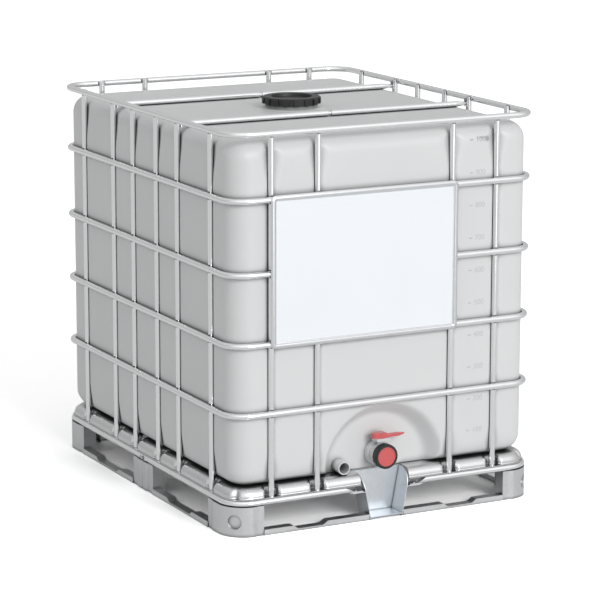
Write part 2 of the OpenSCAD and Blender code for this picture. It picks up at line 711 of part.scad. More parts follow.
// Rail round the foot of the cage; beside the valve guard its ends are pressed flat
module bottom_rail() color("silver") translate([0, 0, rail_z]) {
  tab_t = rail_tab_t;
  slope_l = 16;
  tube_x = rail_tab_x + rail_tab_l;
  difference() {
    tube_loop(front = false);
    for (a = [0, 90, 180]) rotate([0, 0, a]) rail_bolt_place(a) {
      rod_x(bolt_r + 0.1, -2 * tube_d, 3 * tube_d);
      translate([-bolt_head_h, -tube_d, -tube_d]) cube([tube_d, 2 * tube_d, 2 * tube_d]);
    }
  }
  for (s = [0, 1]) mirror([s, 0, 0]) difference() {
    union() {
      difference() {
        translate([0, -ring_y, 0])
          rod_x(tube_r, tube_x - slope_l, ring_x - ring_corner_r - tube_x + slope_l);
        rotate([90, 0, 0]) linear_extrude(2 * base_l, center = true) polygon([
          [tube_x - slope_l - cut, -tube_r + tab_t], [tube_x - slope_l, -tube_r + tab_t],
          [tube_x + slope_l, tube_r], [tube_x + slope_l, tube_d], [tube_x - slope_l - cut, tube_d]
        ]);
      }
      translate([rail_tab_x, -ring_y - tube_r, -tube_r]) cube([rail_tab_l, rail_tab_w, tab_t]);
    }
    rivet_hole(-tube_d);
  }
}

// Hole for the rivet of a flattened rail end, from z0 upwards
module rivet_hole(z0) translate([rail_tab_x + rivet_x, -(base_l - rail_tab_w) / 2, z0])
  cylinder(r = bolt_r + 0.1, h = 2 * tube_d, $fn = fine_fn);

// Moves to the rail's outside at the middle of a side, where a bolt sits
module rail_bolt_place(a) translate([a == 90 ? base_l / 2 : base_w / 2, 0, 0]) children();

// Bolts of the middle legs with their nuts, and the rivets of the flattened rail ends
module rail_bolts() color("gray") {
  nut_t = 4;
  head_t = 2.2;
  closing_head_t = 1.2;
  nut_x = -tube_d - tab_gap - leg_t - nut_t;
  for (a = [0, 90, 180]) translate([0, 0, rail_z]) rotate([0, 0, a]) rail_bolt_place(a) {
    rod_x(2 * bolt_r, -bolt_head_h, head_t);
    rod_x(bolt_r, nut_x - 1, -nut_x + 1 - bolt_head_h);
    difference() {
      translate([nut_x, 0, 0]) rotate([0, 90, 0]) cylinder(r = 1.9 * bolt_r, h = nut_t, $fn = 6);
      rod_x(bolt_r + 0.05, nut_x - cut, nut_t + 2 * cut);
    }
  }
  for (s = [0, 1]) mirror([s, 0, 0])
    translate([rail_tab_x + rivet_x, -(base_l - rail_tab_w) / 2, rail_bottom - leg_t]) {
      translate([0, 0, -closing_head_t]) cylinder(r = 1.6 * bolt_r, h = closing_head_t, $fn = fine_fn);
      cylinder(r = bolt_r, h = leg_t + rail_tab_t, $fn = fine_fn);
      translate([0, 0, leg_t + rail_tab_t]) cylinder(r = 1.8 * bolt_r, h = head_t, $fn = fine_fn);
    }
}

// Cross-section of a pressed channel, widened by o
module deck_rib_profile(o) {
  foot = 12 + o;
  mouth = 22 + o;
  top = tray_top_z + (o > 0 ? -deck_t / 2 : cut);
  polygon([
    [-mouth, top], [-foot, tray_top_z - deck_rib_h - o], [foot, tray_top_z - deck_rib_h - o], [mouth, top]
  ]);
}

// Raised middle of the deck, t inside its outer face, left open round uprights and corners
module tray_form(t) {
  z0 = deck_top - 2 * tray_edge_r;
  difference() {
    soft_block(ring_x - t, ring_y - t, z0, tray_top_z - t, ring_corner_r - t, tray_edge_r - t);
    upright_bars(tube_r + tray_notch_gap + t, z0 - cut, tray_top_z + cut);
    for (x = [-base_w / 2, base_w / 2], y = [-base_l / 2, base_l / 2])
      translate([x, y, z0 - cut]) cylinder(r = tray_corner_notch_r + t, h = 2 * tray_top_z, $fn = round_fn);
  }
}

// Deck sheet: flange on the rail, rolled edge, raised middle with channels pressed into it
module deck() color("silver") {
  deck_bottom = deck_top - deck_t;
  rib_end = 90;
  rib_step = 2 * (ring_y - rib_end) / (deck_ribs - 1);
  rib_l = 2 * (ring_x - tray_edge_r - 12);
  difference() {
    union() {
      intersection() {
        tray_form(0);
        translate([-base_w, -base_l, deck_bottom]) cube([2 * base_w, 2 * base_l, tray_top_z]);
      }
      translate([0, 0, deck_bottom]) linear_extrude(deck_t)
        round_rect(ring_x + tray_lip_w, ring_y + tray_lip_w, ring_corner_r + tray_lip_w);
    }
    difference() {
      tray_form(deck_t);
      for (i = [0 : deck_ribs - 1]) translate([0, -ring_y + rib_end + i * rib_step, 0])
        along_x(rib_l) deck_rib_profile(deck_t);
    }
    for (i = [0 : deck_ribs - 1]) translate([0, -ring_y + rib_end + i * rib_step, 0])
      along_x(rib_l - 2 * deck_t) deck_rib_profile(0);
    translate([-guard_top_x - 1, -base_l, 0])
      cube([2 * guard_top_x + 2, base_l + guard_back_y, 2 * tray_top_z]);
  }
}

// Formed sheet round the valve: side walls, back panel, curved front edge, floor shelf
module valve_guard() color("lightsteelblue") guard_sheet();

module guard_sheet() {
  front_y = -base_l / 2;
  wall_top = rail_bottom - leg_t;
  // cross-section between the side walls, o inside their outer faces
  module outline(o) polygon([
    [-guard_foot_x + o, 0], [guard_foot_x - o, 0], [guard_top_x - o, guard_h], [-guard_top_x + o, guard_h]
  ]);
  // everything in front of the curved edges of the side walls
  module side_cut() rotate([90, 0, 90]) linear_extrude(4 * guard_top_x, center = true)
    difference() {
      translate([front_y - cut, wall_top]) square([guard_depth + 2 * cut, guard_h]);
      translate([front_y + guard_curve_r, wall_top - cut]) square([guard_depth + cut, guard_h + 2 * cut]);
      translate([front_y + guard_curve_r, wall_top]) circle(r = guard_curve_r, $fn = round_fn);
    }
  difference() {
    translate([0, front_y + guard_depth, 0]) rotate([90, 0, 0]) linear_extrude(guard_depth) outline(0);
    translate([0, front_y + guard_depth - guard_t, 0]) rotate([90, 0, 0])
      linear_extrude(guard_depth) difference() {
        outline(guard_t);
        translate([-guard_top_x, 0]) square([2 * guard_top_x, guard_shelf_z]);
      }
    translate([0, front_y + guard_depth - guard_t, -cut]) rotate([90, 0, 0])
      linear_extrude(guard_depth + cut) translate([-guard_foot_x + guard_t, 0])
        square([2 * (guard_foot_x - guard_t), guard_shelf_z - guard_t + cut]);
    side_cut();
  }
  // ears under the flat ends of the rail
  for (s = [0, 1]) mirror([s, 0, 0]) difference() {
    translate([guard_x(wall_top) - guard_t, front_y, wall_top])
      cube([rail_tab_l + guard_t + 1, rail_tab_w, leg_t]);
    rivet_hole(wall_top - cut);
  }
}

// ---------- legs ----------

// Pressed corner leg at +X +Y: round corner, stepped and folded ends, dimple on the corner
module corner_leg() {
  ox = base_w / 2;
  oy = base_l / 2;
  r = outer_corner_r;
  module wall_plan(o) {
    // strip of sheet between the outline pushed in by o and by o + leg_t
    intersection() {
      difference() {
        round_rect(ox - o, oy - o, r - o);
        round_rect(ox - o - leg_t, oy - o - leg_t, r - o - leg_t);
      }
      translate([ox - corner_leg_x, oy - corner_leg_y]) square([corner_leg_x + cut, corner_leg_y + cut]);
    }
  }
  x0 = ox - corner_leg_x + leg_step_l;
  y0 = oy - corner_leg_y + leg_step_l;
  module beyond(x, y) translate([x, y]) square([corner_leg_x, corner_leg_y]);
  // round dish pressed into the corner, grown by o
  module dish(o) translate([ox - r, oy - r, rail_bottom / 2]) rotate([0, 0, 45])
    translate([r - dimple_depth - o, 0, 0]) rotate([0, 90, 0])
      cylinder(r1 = 0.45 * dimple_d + o, r2 = dimple_d / 2 + o, h = dimple_depth + o + cut, $fn = fine_fn);
  difference() {
    union() {
      linear_extrude(rail_bottom) {
        intersection() {
          wall_plan(0);
          beyond(x0 + leg_slope_l, y0 + leg_slope_l);
        }
        difference() {
          wall_plan(leg_step);
          beyond(x0, y0);
        }
        // slopes between the stepped ends and the full face
        intersection() {
          round_rect(ox, oy, r);
          union() {
            polygon([
              [x0, oy - leg_step], [x0 + leg_slope_l, oy],
              [x0 + leg_slope_l, oy - leg_t - 1], [x0, oy - leg_step - leg_t]
            ]);
            polygon([
              [ox - leg_step, y0], [ox, y0 + leg_slope_l],
              [ox - leg_t - 1, y0 + leg_slope_l], [ox - leg_step - leg_t, y0]
            ]);
          }
        }
        // folded returns
        translate([ox - corner_leg_x, oy - leg_step - leg_return]) square([leg_t, leg_return]);
        translate([ox - leg_step - leg_return, oy - corner_leg_y]) square([leg_return, leg_t]);
      }
      // flange that the rail rests on
      translate([0, 0, rail_bottom - leg_t]) linear_extrude(leg_t) intersection() {
        difference() {
          round_rect(ox - leg_step, oy - leg_step, r - leg_step);
          round_rect(ox - leg_flange_w, oy - leg_flange_w, r - leg_flange_w);
        }
        translate([ox - corner_leg_x, oy - corner_leg_y]) square([corner_leg_x, corner_leg_y]);
      }
      // cup of the dimple
      intersection() {
        dish(leg_t);
        linear_extrude(rail_bottom) round_rect(ox - leg_t / 2, oy - leg_t / 2, r - leg_t / 2);
      }
    }
    dish(0);
  }
}

module place_corner(x, y) color("silver")
  mirror([x < 0 ? 1 : 0, 0, 0]) mirror([0, y < 0 ? 1 : 0, 0]) corner_leg();
module leg_front_left() place_corner(-1, -1);
module leg_front_right() place_corner(1, -1);
module leg_back_left() place_corner(-1, 1);
module leg_back_right() place_corner(1, 1);

// Pressed leg in the middle of a side that faces +X: crease, returns, raised panel
module mid_leg() {
  h = mid_leg_l / 2;
  module sheet(o) polygon([
    [-leg_step - o, -h + o], [-leg_step - o, -h / 2 + 0.4 * o], [-o, -h / 2 + leg_step + 0.4 * o],
    [-o, -leg_step - 1 - 0.4 * o], [-leg_step - o, -1 - 0.4 * o],
    [-leg_step - o, 1 + 0.4 * o], [-o, leg_step + 1 + 0.4 * o],
    [-o, h / 2 - leg_step - 0.4 * o], [-leg_step - o, h / 2 - 0.4 * o], [-leg_step - o, h - o],
    [-leg_return, h - o], [-leg_return, -h + o]
  ]);
  linear_extrude(rail_bottom) difference() {
    sheet(0);
    sheet(leg_t);
    translate([-leg_return - cut, -h + leg_t]) square([leg_return / 2, 2 * (h - leg_t)]);
  }
  // flange that the rail rests on, and the tab behind the rail that takes its bolt
  translate([-leg_flange_w, -h, rail_bottom - leg_t]) cube([leg_flange_w - leg_step - leg_t, 2 * h, leg_t]);
  difference() {
    translate([-tube_d - leg_t - tab_gap, -leg_tab_w / 2, rail_bottom - leg_t])
      cube([leg_t, leg_tab_w, tube_d]);
    translate([0, 0, rail_z]) rod_x(bolt_r + 0.1, -2 * tube_d, 2 * tube_d);
  }
}

module leg_mid_left() color("silver") translate([-base_w / 2, 0, 0]) mirror([1, 0, 0]) mid_leg();
module leg_mid_right() color("silver") translate([base_w / 2, 0, 0]) mid_leg();
module leg_mid_back() color("silver") translate([0, base_l / 2, 0]) rotate([0, 0, 90]) mid_leg();

// ---------- skids ----------

// Pressed channel strip along +X from x0 to x1, raised for a length at each end
module skid_strip(x0, x1, rib0, rib1) {
  slope = 15;
  low = skid_low_h;
  high = skid_high_h;
  t = skid_t;
  module top_line(o) polygon([
    [x0 - o, -cut], [x0 - o, high - o], [x0 + rib0 - o / 3, high - o], [x0 + rib0 + slope - o / 3, low - o],
    [x1 - rib1 - slope + o / 3, low - o], [x1 - rib1 + o / 3, high - o], [x1 + o, high - o], [x1 + o, -cut]
  ]);
  intersection() {
    difference() {
      rotate([90, 0, 0]) linear_extrude(skid_w, center = true) top_line(0);
      rotate([90, 0, 0]) linear_extrude(skid_w - 2 * t, center = true) top_line(t);
    }
    translate([x0 - cut, -skid_w, 0]) cube([x1 - x0 + 2 * cut, 2 * skid_w, high + cut]);
  }
}

module skid_front() color("silver") for (s = [0, 1]) mirror([s, 0, 0])
  translate([0, (skid_w - base_l) / 2, 0])
    skid_strip(guard_x(skid_high_h) + seat_gap, base_w / 2 - corner_leg_x,
      skid_inner_rib_l, skid_outer_rib_l);

module skid_back() color("silver") for (s = [0, 1]) mirror([s, 0, 0])
  translate([0, (base_l - skid_w) / 2, 0])
    skid_strip(mid_leg_l / 2, base_w / 2 - corner_leg_x, skid_inner_rib_l, skid_outer_rib_l);

// Both strips of one long side; s is -1 for the left and 1 for the right
module skid_side(s) color("silver") for (m = [0, 1]) mirror([0, m, 0])
  translate([s * (base_w - skid_w) / 2, 0, 0]) rotate([0, 0, 90])
    skid_strip(mid_leg_l / 2, base_l / 2 - corner_leg_y, skid_side_rib_l, skid_side_rib_l);

module skid_left() skid_side(-1);
module skid_right() skid_side(1);

// ---------- what is drawn ----------

bottle();
side_stub();
cap_seal();
screw_cap();
valve_gasket();
union_nut();
valve_body();
valve_stem();
valve_flap();
lever();
lever_screw();
outlet_seal();
outlet_plate();
outlet_ring();
cage_ring(0);  // ring_top
cage_ring(1);  // ring_upper
cage_ring(2);  // ring_middle
cage_ring(3);  // ring_lower
cage_ring(4);  // ring_base
upright_front(1);  // upright_front_1
upright_front(2);  // upright_front_2
upright_front(3);  // upright_front_3
upright_front(4);  // upright_front_4
upright_back(1);  // upright_back_1
upright_back(2);  // upright_back_2
upright_back(3);  // upright_back_3
upright_back(4);  // upright_back_4
upright_left(1);  // upright_left_1
upright_left(2);  // upright_left_2
upright_left(3);  // upright_left_3
upright_left(4);  // upright_left_4
upright_left(5);  // upright_left_5
upright_left(6);  // upright_left_6
upright_right(1);  // upright_right_1
upright_right(2);  // upright_right_2
upright_right(3);  // upright_right_3
upright_right(4);  // upright_right_4
upright_right(5);  // upright_right_5
upright_right(6);  // upright_right_6
bar_left(bar_ys[0]);  // bar_front_left
bar_right(bar_ys[0]);  // bar_front_right
bar_left(bar_ys[1]);  // bar_back_left
bar_right(bar_ys[1]);  // bar_back_right
bar_screws();
label_plate();
bottom_rail();
deck();
valve_guard();
leg_front_left();
leg_front_right();
leg_back_left();
leg_back_right();
leg_mid_left();
leg_mid_right();
leg_mid_back();
skid_front();
skid_back();
skid_left();
skid_right();
rail_bolts();
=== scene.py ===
import math
import bpy
import bmesh
from mathutils import Matrix, Vector


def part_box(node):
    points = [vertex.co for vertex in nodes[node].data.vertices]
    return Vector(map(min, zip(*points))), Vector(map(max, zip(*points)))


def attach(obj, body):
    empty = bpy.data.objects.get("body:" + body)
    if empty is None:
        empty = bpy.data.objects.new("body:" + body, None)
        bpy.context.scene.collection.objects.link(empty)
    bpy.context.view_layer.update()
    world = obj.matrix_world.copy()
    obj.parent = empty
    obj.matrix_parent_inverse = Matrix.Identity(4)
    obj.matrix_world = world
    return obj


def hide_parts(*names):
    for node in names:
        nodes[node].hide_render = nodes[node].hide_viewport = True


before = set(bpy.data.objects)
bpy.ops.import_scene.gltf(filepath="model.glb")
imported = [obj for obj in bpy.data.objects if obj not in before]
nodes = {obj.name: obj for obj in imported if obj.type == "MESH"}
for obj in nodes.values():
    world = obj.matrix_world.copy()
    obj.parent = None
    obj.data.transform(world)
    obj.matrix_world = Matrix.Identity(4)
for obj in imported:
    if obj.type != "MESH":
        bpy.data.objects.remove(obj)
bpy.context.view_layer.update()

# ---------------------------------------------------------------- skids
# Channel strips that run along the floor between the legs of the pallet.
# Hot-dip galvanised steel strip, roll-formed and stepped, spot-welded to the legs.
# The zinc gives a cool grey, a faint crystal pattern a few millimetres across, and soft gloss.


def linear(hex_code):
    """An sRGB hex colour as the linear RGBA that shaders take."""
    parts = [int(hex_code[i:i + 2], 16) / 255 for i in (1, 3, 5)]
    return tuple(p / 12.92 if p <= 0.04045 else ((p + 0.055) / 1.055) ** 2.4 for p in parts) + (1.0,)


def add(tree, kind, inputs=None, **settings):
    """Adds one node; a socket given as an input is linked, anything else is set."""
    made = tree.nodes.new(kind)
    for key, value in settings.items():
        setattr(made, key, value)
    for key, value in (inputs or {}).items():
        if isinstance(value, bpy.types.NodeSocket):
            tree.links.new(value, made.inputs[key])
        else:
            made.inputs[key].default_value = value
    return made


def material(name, **fixed):
    """A new material with its shader's uniform values set; returns it, its tree and its shader."""
    made = bpy.data.materials.new(name)
    made.use_nodes = True
    tree = made.node_tree
    shader = tree.nodes["Principled BSDF"]
    for key, value in fixed.items():
        shader.inputs[key.replace("_", " ")].default_value = value
    return made, tree, shader


def painted_contact_shade(tree, colour, reach, depth, clear=0.85):
    """That colour with painted shade: darker by depth where another surface lies within reach metres, as in
    crevices and between parts; clear counts as open.
    """
    open_sky = add(tree, "ShaderNodeAmbientOcclusion", {"Distance": reach}, samples=16).outputs["AO"]
    shade = add(tree, "ShaderNodeMapRange", {"Value": open_sky, "From Min": 0.25, "From Max": clear,
                                             "To Min": 1.0 - depth, "To Max": 1.0}).outputs[0]
    return add(tree, "ShaderNodeMix", {0: 1.0, 6: colour, 7: shade},
               data_type="RGBA", blend_type="MULTIPLY").outputs[2]


def zinc(name, dark, light, crystal, smooth, rough, dents, reach, depth, clear=0.85):
    """Galvanised steel: crystals of that size in metres between two greys, roughness between two values, and
    painted shade that darkens it by depth within reach metres of other surfaces.
    """
    made, tree, shader = material(name, Metallic=1.0)
    place = add(tree, "ShaderNodeTexCoord").outputs["Object"]
    cells = add(tree, "ShaderNodeTexVoronoi", {"Vector": place, "Scale": 1 / crystal}).outputs["Color"]
    clouds = add(tree, "ShaderNodeTexNoise",
                 {"Vector": place, "Scale": 0.1 / crystal, "Detail": 4.0}).outputs["Fac"]
    # broad clouds, ten crystals across, with a third of the single crystals showing in them
    grain = add(tree, "ShaderNodeMix", {0: 0.35, 2: clouds, 3: cells}, data_type="FLOAT").outputs[0]
    tone = add(tree, "ShaderNodeMix", {0: grain, 6: linear(dark), 7: linear(light)},
               data_type="RGBA").outputs[2]
    gloss = add(tree, "ShaderNodeMapRange", {"Value": grain, "To Min": smooth, "To Max": rough}).outputs[0]
    wave = add(tree, "ShaderNodeTexNoise",
               {"Vector": place, "Scale": 1 / dents, "Detail": 2.0}).outputs["Fac"]
    bump = add(tree, "ShaderNodeBump", {"Height": wave, "Strength": 0.2, "Distance": 0.0005}).outputs[0]
    # the base colour carries painted shade where other surfaces lie close
    tree.links.new(painted_contact_shade(tree, tone, reach, depth, clear), shader.inputs["Base Color"])
    tree.links.new(gloss, shader.inputs["Roughness"])
    tree.links.new(bump, shader.inputs["Normal"])
    return made


def dress(finish, *names):
    """Gives CAD nodes that finish."""
    for name in names:
        for slot in nodes[name].material_slots:
            slot.material = finish


# painted shade: the strip is darkened within 12 mm of other surfaces, in its steps and where it meets the legs
zinc_strip = zinc("galvanised_strip", "#d4d5d6", "#e3e4e4", crystal=0.006, smooth=0.30, rough=0.42,
                  dents=0.04, reach=0.012, depth=0.75)
dress(zinc_strip, "skid_front", "skid_back", "skid_left", "skid_right")

# ---------------------------------------------------------------- legs and valve guard
# Four corner legs, three middle legs and the guard in front, all pressed from 2.5 mm sheet.
# Hot-dip galvanised, with larger crystals than the strip: the legs a little darker, the guard bluer.

# painted shade: the legs are darkened within 12 mm of other surfaces, in their steps, dish and joints
zinc_sheet = zinc("galvanised_pressed_sheet", "#cccdce", "#dbdcdd", crystal=0.008, smooth=0.30, rough=0.42,
                  dents=0.06, reach=0.012, depth=0.85, clear=0.98)
dress(zinc_sheet, "leg_front_left", "leg_front_right", "leg_back_left", "leg_back_right",
      "leg_mid_left", "leg_mid_right", "leg_mid_back")
# painted shade: the guard is darkened within 8 mm of other surfaces, along its folds and edges
zinc_guard = zinc("galvanised_guard_sheet", "#cfd4d9", "#e2e6ea", crystal=0.010, smooth=0.28, rough=0.40,
                  dents=0.05, reach=0.008, depth=0.8, clear=0.9)
dress(zinc_guard, "valve_guard")

# ---------------------------------------------------------------- rail
# The rail is 18 mm galvanised tube bent round the pallet and flattened where it is bolted down.
# The tube is bright, with fine crystals; the bolts and screws are zinc-plated and darker.

# painted shade: the tube is darkened within 6 mm of other parts, as where rings and uprights lie beside the
# bottle
zinc_tube = zinc("galvanised_tube", "#e6e7e8", "#efeff0", crystal=0.004, smooth=0.12, rough=0.18,
                 dents=0.12, reach=0.006, depth=0.85, clear=0.75)
dress(zinc_tube, "bottom_rail")
# painted shade: the bolts are darkened within 6 mm of other parts
plated = zinc("zinc_plated_bolts", "#8b8d90", "#a9abae", crystal=0.002, smooth=0.25, rough=0.35,
              dents=0.01, reach=0.006, depth=0.6)
dress(plated, "rail_bolts", "bar_screws", "lever_screw", "valve_stem")

# ---------------------------------------------------------------- deck
# A tray pressed from 2 mm galvanised sheet: a flange on the rail and a raised middle with a rolled edge.
# The edge is drawn in to a smooth scallop round every upright and at the corners, and is cut away
# where the valve guard stands. The sheet is smooth and bright, with soft, broad dents.

# painted shade: the tray is darkened within 30 mm of other surfaces, as the dark band under the bottle's edge
# and beside the uprights
zinc_tray = zinc("galvanised_tray", "#cdcecf", "#d6d6d7", crystal=0.03, smooth=0.22, rough=0.26,
                 dents=0.12, reach=0.03, depth=0.6)

low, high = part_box("deck")
flange = 0.004
reach_x, reach_y = high[0] - flange, high[1] - flange
flange_bottom, tray_top = low[2], high[2]
sheet_thickness = 0.002
tray_corner = 0.070
roll_radius = 0.026
upright_scallop = 0.0305
scallop_flat = 0.0105
scallop_slope = 0.017
corner_scallop = 0.011
corner_slope = 0.016
guard_gap = 0.079
guard_back = -0.533
channels = 6
channel_depth = 0.010
channel_foot = 0.013
channel_mouth = 0.023
channel_margin = 0.09
channel_end_gap = 0.012
channel_guard_gap = 0.004
side_steps = 220
corner_steps = 24
roll_steps = 8


def middle(name, axis):
    """The middle of a CAD node along one axis."""
    a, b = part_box(name)
    return (a[axis] + b[axis]) / 2


front_posts = [middle(f"upright_front_{i}", 0) for i in range(1, 5)]
side_posts = [middle(f"upright_left_{i}", 1) for i in range(1, 7)]


def ease(t):
    """Runs smoothly from 0 to 1 as t does, and stays at 0 or 1 beyond."""
    t = min(1.0, max(0.0, t))
    return t * t * (3 - 2 * t)


def scallop(s, posts):
    """How far the rolled edge is drawn in at s, next to the uprights of that side."""
    nearest = min(abs(s - post) for post in posts)
    return upright_scallop * (1 - ease((nearest - scallop_flat) / scallop_slope))


# The walk round the tray: each place with its outward direction and how far its edge is drawn in.
tray_walk = []
for side in range(4):
    along_x = side % 2 == 0
    run, out_by = (reach_x, reach_y) if along_x else (reach_y, reach_x)
    posts = front_posts if along_x else side_posts
    straight = run - tray_corner
    places = sorted({round(-straight + 2 * straight * i / side_steps, 5) for i in range(side_steps + 1)}
                    | ({-guard_gap, guard_gap} if side == 0 else set()))
    turn = side * math.pi / 2
    ahead_way = Vector((math.cos(turn), math.sin(turn), 0))
    out_way = Vector((math.sin(turn), -math.cos(turn), 0))
    for s in places:
        if side == 0 and -guard_gap < s < guard_gap:
            continue
        # the walk runs against the axis on the far sides
        drawn = scallop(s if side < 2 else -s, posts)
        tray_walk.append((ahead_way * s + out_way * out_by, out_way, drawn, side == 0 and s == -guard_gap))
    centre = ahead_way * straight + out_way * (out_by - tray_corner)
    for i in range(1, corner_steps):
        t = math.pi / 2 * i / corner_steps
        way = out_way * math.cos(t) + ahead_way * math.sin(t)
        drawn = corner_scallop * (1 - ease(tray_corner * abs(t - math.pi / 4) / corner_slope))
        tray_walk.append((centre + way * tray_corner, way, drawn, False))

tray = bmesh.new()
roll = [(0.0, flange_bottom + sheet_thickness), (0.0, tray_top - roll_radius)]
roll += [(roll_radius * (1 - math.cos(math.pi / 2 * i / roll_steps)),
          tray_top - roll_radius * (1 - math.sin(math.pi / 2 * i / roll_steps)))
         for i in range(1, roll_steps + 1)]
loops = [[tray.verts.new(place + way * flange + Vector((0, 0, flange_bottom + sheet_thickness)))
          for place, way, drawn, gap in tray_walk]]
for inset, z in roll:
    loops.append([tray.verts.new(place - way * (inset + drawn) + Vector((0, 0, z)))
                  for place, way, drawn, gap in tray_walk])
for lower, upper in zip(loops[:-1], loops[1:]):
    for i in range(len(tray_walk)):
        if not tray_walk[i][3]:
            j = (i + 1) % len(tray_walk)
            tray.faces.new((lower[i], lower[j], upper[j], upper[i]))
border = []
for i, vertex in enumerate(loops[-1]):
    border.append(vertex)
    if tray_walk[i][3]:
        border += [tray.verts.new((x, guard_back, tray_top)) for x in (-guard_gap, guard_gap)]
tray.faces.new(border)
# Shallow channels pressed across the middle; the first is broken off behind the guard.
channel_end = reach_x - roll_radius - channel_end_gap
channel_stop = guard_gap + channel_guard_gap
channel_top, channel_floor = tray_top - 0.001, tray_top - channel_depth - sheet_thickness
for i in range(channels):
    y = -reach_y + channel_margin + i * 2 * (reach_y - channel_margin) / (channels - 1)
    cuts = [[tray.verts.new((x, y + width, z)) for width, z in
             ((-channel_mouth, channel_top), (-channel_foot, channel_floor),
              (channel_foot, channel_floor), (channel_mouth, channel_top))]
            for x in ((-channel_end, channel_end) if i else
                      (-channel_end, -channel_stop, channel_stop, channel_end))]
    for a, b in zip(cuts[0::2], cuts[1::2]):
        for k in range(4):
            tray.faces.new((a[k], a[(k + 1) % 4], b[(k + 1) % 4], b[k]))
        tray.faces.new(list(reversed(a)))
        tray.faces.new(b)


def finish_piece(name, mesh_data, finish, body, smooth=True):
    """Turns mesh data into a piece at the origin that rides on that body."""
    mesh = bpy.data.meshes.new(name)
    mesh_data.to_mesh(mesh)
    mesh_data.free()
    mesh.materials.append(finish)
    for face in mesh.polygons:
        face.use_smooth = smooth
    piece = bpy.data.objects.new(name, mesh)
    bpy.context.scene.collection.objects.link(piece)
    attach(piece, body)
    return piece


deck_sheet = finish_piece("deck_sheet", tray, zinc_tray, "container")
for face in deck_sheet.data.polygons:
    above_flange = face.center.z > flange_bottom + sheet_thickness + 0.0001
    in_channel = (face.center.z < tray_top - 0.0011 and abs(face.center.x) < reach_x - 0.06
                  and abs(face.center.y) < reach_y - 0.06)
    face.use_smooth = len(face.vertices) == 4 and above_flange and not in_channel
thicken = deck_sheet.modifiers.new("sheet", "SOLIDIFY")
thicken.thickness = sheet_thickness
thicken.offset = -1.0
seen = deck_sheet.evaluated_get(bpy.context.evaluated_depsgraph_get())
deck_sheet.data = bpy.data.meshes.new_from_object(seen)
deck_sheet.modifiers.clear()
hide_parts("deck")

# ---------------------------------------------------------------- bottle
# One blow-moulded shell of natural high-density polyethylene, 3 mm thick, that stands on the deck.
# The wall lies between the uprights in flat panels, drawn in to a soft groove at each of them;
# a domed recess is moulded round the outlet, and the filling neck stands on the top.

low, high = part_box("bottle")
half_x, half_y = high[0], high[1]
floor_z = low[2]
neck_top = high[2]
neck_height = 0.025
body_top = neck_top - neck_height
neck_radius = 0.079
neck_wall = 0.006
corner = 0.062
edge = 0.052
channel_radius = 0.011
lip_depth = 0.0028
lip_width = 0.012
lip_start = 0.009
flare_depth = 0.0085
flare_width = 0.024
flare_from_top, flare_top_run = 0.14, 0.12
flare_from_floor, flare_floor_run = 0.10, 0.09
recess_radius = 0.1985
recess_depth = 0.0515
recess_centre = 0.141
recess_slope = 0.046
recess_softness = 0.7
edge_steps = 10
shoulder_steps = 14
turn_steps = 12
fine_row, coarse_row = 0.005, 0.02
fine_rows_up_to = 0.352


def stations(half, posts, step):
    """Places along a straight wall: close together round each upright, further apart between them."""
    places = {round(-half, 5), round(half, 5)}
    for post in posts:
        for away in (0, 4, 7, 9, 10.2, 10.8, 11, 11.3, 12.2, 14, 17, 20, 25, 32, 42):
            for sign in (-1, 1):
                place = post + sign * away / 1000
                if abs(place) < half:
                    places.add(round(place, 5))
    ordered = sorted(places)
    for a, b in zip(ordered[:-1], ordered[1:]):
        parts = max(1, math.ceil((b - a) / step))
        for i in range(1, parts):
            places.add(round(a + (b - a) * i / parts, 5))
    return sorted(places)


def groove(s, z, posts):
    """How far the wall is drawn in at s: a round channel at the nearest upright, its lip flared at the ends."""
    flare = max(ease((z - (body_top - flare_from_top)) / flare_top_run),
                ease((floor_z + flare_from_floor - z) / flare_floor_run))
    nearest = min(abs(s - post) for post in posts)
    channel = math.sqrt(max(0.0, channel_radius ** 2 - nearest ** 2))
    lip = (lip_depth + flare_depth * flare) * (
        1 - ease((nearest - lip_start) / (lip_width + flare_width * flare)))
    return max(channel, lip)


def recess(x, z):
    """How far the front wall is drawn in by the domed recess."""
    away = math.hypot(x, z - recess_centre) if z > recess_centre else abs(x)
    t = (recess_radius - away) / recess_slope
    if t <= 0:
        return 0.0
    t = min(t, 1.0)
    return recess_depth * (recess_softness * ease(t) + (1 - recess_softness) * (1 - (1 - t) ** 2))


def deeper(a, b, blend):
    """The larger of two depths, rounded off where they meet."""
    gap = a - b
    return 0.5 * (a + b + math.sqrt(gap * gap + blend * blend)) - 0.5 * blend


# Heights of the rows of vertices, each with how far the rounded edge draws the wall in there.
rows = [(floor_z + edge * (1 - math.cos(math.pi / 2 * i / edge_steps)),
         edge * (1 - math.sin(math.pi / 2 * i / edge_steps))) for i in range(edge_steps + 1)]
z = rows[-1][0]
while z < fine_rows_up_to:
    z += fine_row
    rows.append((z, 0.0))
while z < body_top - edge - 2 * coarse_row:
    z += coarse_row
    rows.append((z, 0.0))
shoulder = [(body_top - edge + edge * math.sin(math.pi / 2 * i / shoulder_steps),
             edge * (1 - math.cos(math.pi / 2 * i / shoulder_steps))) for i in range(shoulder_steps + 1)]
rows.append(((z + shoulder[0][0]) / 2, 0.0))
rows += shoulder

